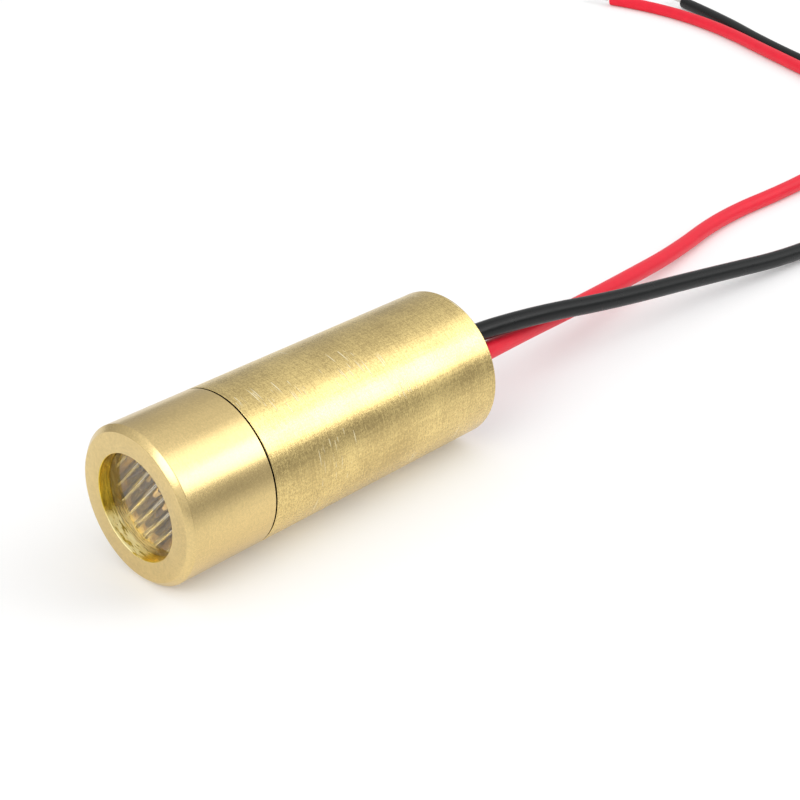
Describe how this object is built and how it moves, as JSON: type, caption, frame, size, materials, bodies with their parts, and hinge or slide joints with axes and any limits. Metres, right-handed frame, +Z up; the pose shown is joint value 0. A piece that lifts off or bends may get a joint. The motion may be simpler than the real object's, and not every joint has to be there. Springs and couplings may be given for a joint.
{
  "type": "laser diode module",
  "caption": "Round brass laser line module with a ridged lens in its recessed front aperture and a red and a black hook-up wire leaving the rear, lying on its side.",
  "frame": {"origin": "bottom centre of the module's own box without the wires: under the middle of its length, on the surface that it lies on", "axes": "+Y along the module's axis towards the wires, -Y the way the beam leaves, +Z up, +X to the right seen from the front"},
  "size_m": [0.0608, 0.1151, 0.009],
  "materials": {
    "cap_brass": "fine turned satin brass",
    "barrel_brass": "turned brass with brushed rings",
    "cell_brass": "plain turned brass",
    "lens_acrylic": "clear moulded acrylic",
    "collimator_glass": "coated optical glass",
    "window_glass": "clear glass",
    "seal_glass": "dark sealing glass",
    "spring_steel": "bright spring wire",
    "header_plating": "gold plated steel",
    "can_nickel": "nickel plated",
    "stem_copper": "bare copper",
    "chip_semiconductor": "polished semiconductor",
    "lead_plating": "gold plated wire",
    "board_laminate": "green solder mask",
    "transistor_mould": "black moulding compound",
    "resistor_body": "black glaze with tinned ends",
    "capacitor_body": "tan ceramic with tinned ends",
    "solder": "bright solder",
    "potting_epoxy": "black epoxy",
    "red_pvc": "soft PVC, slight gloss",
    "black_pvc": "soft PVC, slight gloss",
    "tinned_copper": "tinned copper strands"
  },
  "bodies": {
    "root": {"nose_cap": "cap_brass", "barrel": "barrel_brass", "line_lens": "lens_acrylic", "lens_cell": "cell_brass", "collimator_lens": "collimator_glass", "focus_spring": "spring_steel", "diode_header": "header_plating", "diode_can": "can_nickel", "diode_window": "window_glass", "diode_stem": "stem_copper", "laser_chip": "chip_semiconductor", "monitor_photodiode": "chip_semiconductor", "diode_leads": "lead_plating", "lead_seals": "seal_glass", "driver_board": "board_laminate", "driver_transistors": "transistor_mould", "chip_resistors": "resistor_body", "chip_capacitor": "capacitor_body", "solder_joints": "solder", "rear_potting": "potting_epoxy", "red_wire": "red_pvc", "black_wire": "black_pvc", "red_wire_stub": "tinned_copper", "black_wire_stub": "tinned_copper", "red_wire_tip": "tinned_copper", "black_wire_tip": "tinned_copper"}
  },
  "joints": []
}
